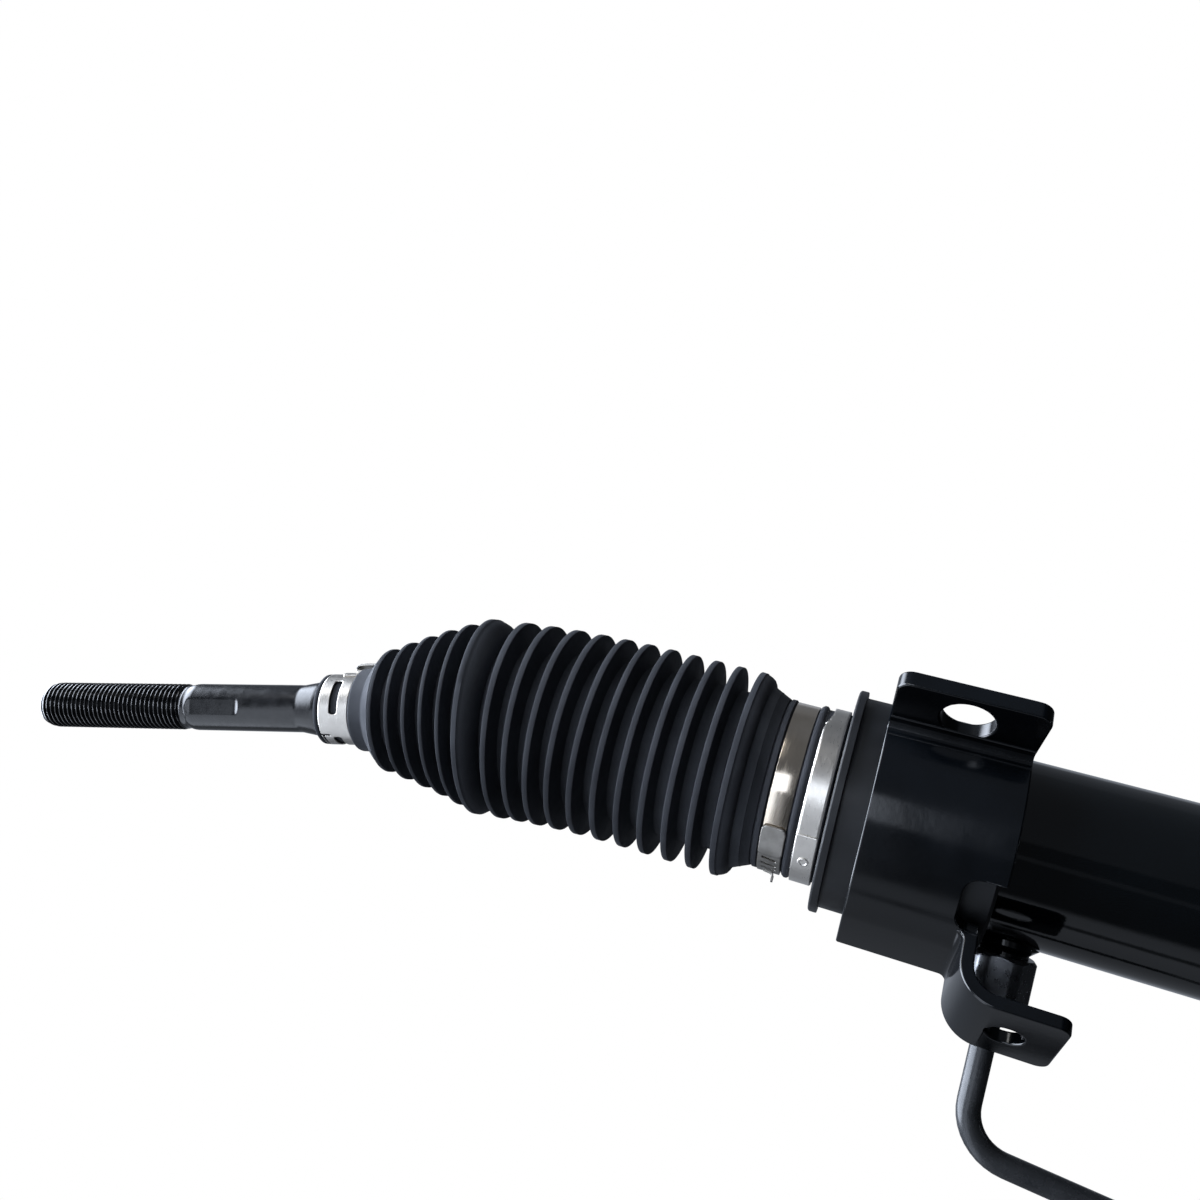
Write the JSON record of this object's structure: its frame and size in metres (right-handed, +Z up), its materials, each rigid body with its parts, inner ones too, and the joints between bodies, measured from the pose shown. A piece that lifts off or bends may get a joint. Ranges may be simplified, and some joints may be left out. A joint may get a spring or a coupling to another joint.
{
  "type": "hydraulic rack-and-pinion steering rack",
  "caption": "Hydraulic power steering rack: long black cylinder tube with a lugged bracket, pinion and valve housing, ribbed bellows and threaded tie rods at both ends.",
  "frame": {"origin": "centre of the bolt hole in the bracket's top lug, on the lug's underside, where it sits on the vehicle's crossmember", "axes": "+X along the rack towards the pinion end; +Z up; -Y towards the bolt lugs"},
  "size_m": [0.9468, 0.1239, 0.1783],
  "materials": {
    "black_paint": "gloss",
    "cast_aluminium": "satin",
    "plated_steel": "satin",
    "rubber": "matte",
    "stainless": "polished",
    "zinc": "satin",
    "machined_steel": "ground",
    "dark_steel": "satin",
    "polymer": "matte",
    "bronze": "satin"
  },
  "bodies": {
    "housing": {"cylinder_tube": "black_paint", "end_collar": "black_paint", "mount_bracket": "black_paint", "left_end_plug": "black_paint", "plug_o_ring": "rubber", "left_rod_seal": "rubber", "seal_retainer": "plated_steel", "rack_bush": "polymer", "inner_bulkhead": "cast_aluminium", "bulkhead_seal": "rubber", "left_port_boss": "black_paint", "right_port_boss": "black_paint", "left_tube_nut": "plated_steel", "right_tube_nut": "plated_steel", "left_pressure_pipe": "plated_steel", "right_pressure_pipe": "plated_steel", "valve_pipe_nuts": "plated_steel", "pinion_housing": "cast_aluminium", "ear_rubbers": "rubber", "ear_sleeves": "plated_steel", "yoke_lock_nut": "black_paint", "yoke_plug": "black_paint", "yoke_spring": "machined_steel", "rack_yoke": "cast_aluminium", "yoke_liner": "polymer", "bottom_cap": "black_paint", "bearing_outer_race": "machined_steel", "bearing_balls": "machined_steel", "upper_bush": "bronze", "valve_housing": "cast_aluminium", "valve_bolts": "plated_steel", "input_seal": "rubber", "dust_cover": "rubber", "left_band": "zinc", "right_band": "zinc", "left_clamp": "stainless", "right_clamp": "stainless", "left_bellows": "rubber", "right_bellows": "rubber"},
    "rack": {"rack_bar": "machined_steel", "piston": "machined_steel", "piston_ring": "polymer", "left_lock_washer": "plated_steel", "right_lock_washer": "plated_steel", "left_joint_socket": "machined_steel", "right_joint_socket": "machined_steel"},
    "pinion": {"pinion": "machined_steel", "bearing_inner_race": "machined_steel", "valve_sleeve": "machined_steel", "sleeve_rings": "polymer", "torsion_bar": "machined_steel"},
    "input": {"input_shaft": "machined_steel"},
    "left_swing": {"left_ball_seat": "polymer"},
    "left_sweep": {"left_clip": "stainless"},
    "left_rod": {"left_tie_rod": "dark_steel"},
    "right_swing": {"right_ball_seat": "polymer"},
    "right_sweep": {"right_clip": "stainless"},
    "right_rod": {"right_tie_rod": "dark_steel"}
  },
  "joints": [
    {"name": "rack_slide", "type": "slide", "parent": "housing", "child": "rack", "axis": [1, 0, 0], "range_m": [-0.07, 0.05], "deforming": ["left_bellows", "right_bellows"]},
    {"name": "pinion_spin", "type": "hinge", "parent": "housing", "child": "pinion", "pos_m": [0.368, 0.05429, -0.006], "axis": [0, 0, 1], "range_deg": [-558, 399]},
    {"name": "input_twist", "type": "hinge", "parent": "pinion", "child": "input", "pos_m": [0.368, 0.05429, -0.006], "axis": [0, 0, 1], "range_deg": [-4.5, 4.5], "stiffness_Nm_per_rad": 115},
    {"name": "left_swing", "type": "hinge", "parent": "rack", "child": "left_swing", "pos_m": [-0.1145, 0.0394, -0.006], "axis": [0, 1, 0], "range_deg": [-9.5, 34.5]},
    {"name": "left_sweep", "type": "hinge", "parent": "left_swing", "child": "left_sweep", "pos_m": [-0.1145, 0.0394, -0.006], "axis": [0, 0, 1], "range_deg": [-14, 14]},
    {"name": "left_spin", "type": "hinge", "parent": "left_sweep", "child": "left_rod", "pos_m": [-0.1145, 0.0394, -0.006], "axis": [-0.9709, 0.1071, -0.214], "continuous": true},
    {"name": "right_swing", "type": "hinge", "parent": "rack", "child": "right_swing", "pos_m": [0.5255, 0.0394, -0.006], "axis": [0, 1, 0], "range_deg": [-34.5, 9.5]},
    {"name": "right_sweep", "type": "hinge", "parent": "right_swing", "child": "right_sweep", "pos_m": [0.5255, 0.0394, -0.006], "axis": [0, 0, 1], "range_deg": [-14, 14]},
    {"name": "right_spin", "type": "hinge", "parent": "right_sweep", "child": "right_rod", "pos_m": [0.5255, 0.0394, -0.006], "axis": [0.9709, 0.1071, -0.214], "continuous": true}
  ],
  "couplings": [
    {"joint": "pinion_spin", "follows": "rack_slide", "rad_per_m": 138.89}
  ]
}
